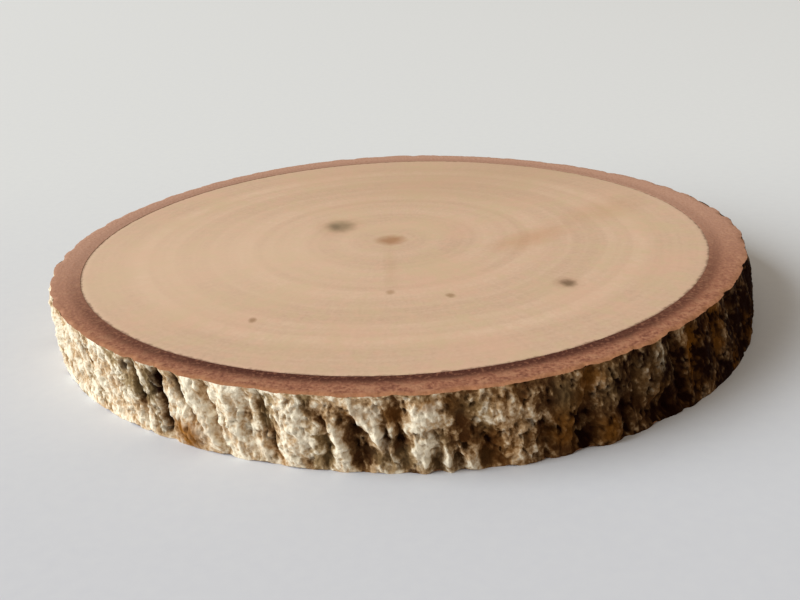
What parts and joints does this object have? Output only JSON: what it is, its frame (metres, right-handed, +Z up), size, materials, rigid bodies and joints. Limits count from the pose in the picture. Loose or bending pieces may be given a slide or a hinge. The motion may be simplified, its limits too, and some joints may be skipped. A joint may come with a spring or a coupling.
{
  "type": "wood slice",
  "caption": "Round crosscut slice of a branch with its bark on, sanded flat on both faces, with a ridged bark edge.",
  "frame": {"origin": "middle of the lower sawn face, on the surface that the slice rests on", "axes": "+Z up through the thickness; +X to the right and -Y towards the viewer of the picture"},
  "size_m": [0.1026, 0.1025, 0.01],
  "materials": {
    "sanded_wood": "pale tan end grain, sanded smooth and left bare, with faint rings and a small darker pith",
    "bark": "red-brown and matt where it is sawn, and outside rough dark brown bark with cream lichen on its ridges"
  },
  "bodies": {
    "root": {"wood": "sanded_wood", "bark": "bark"}
  },
  "joints": []
}
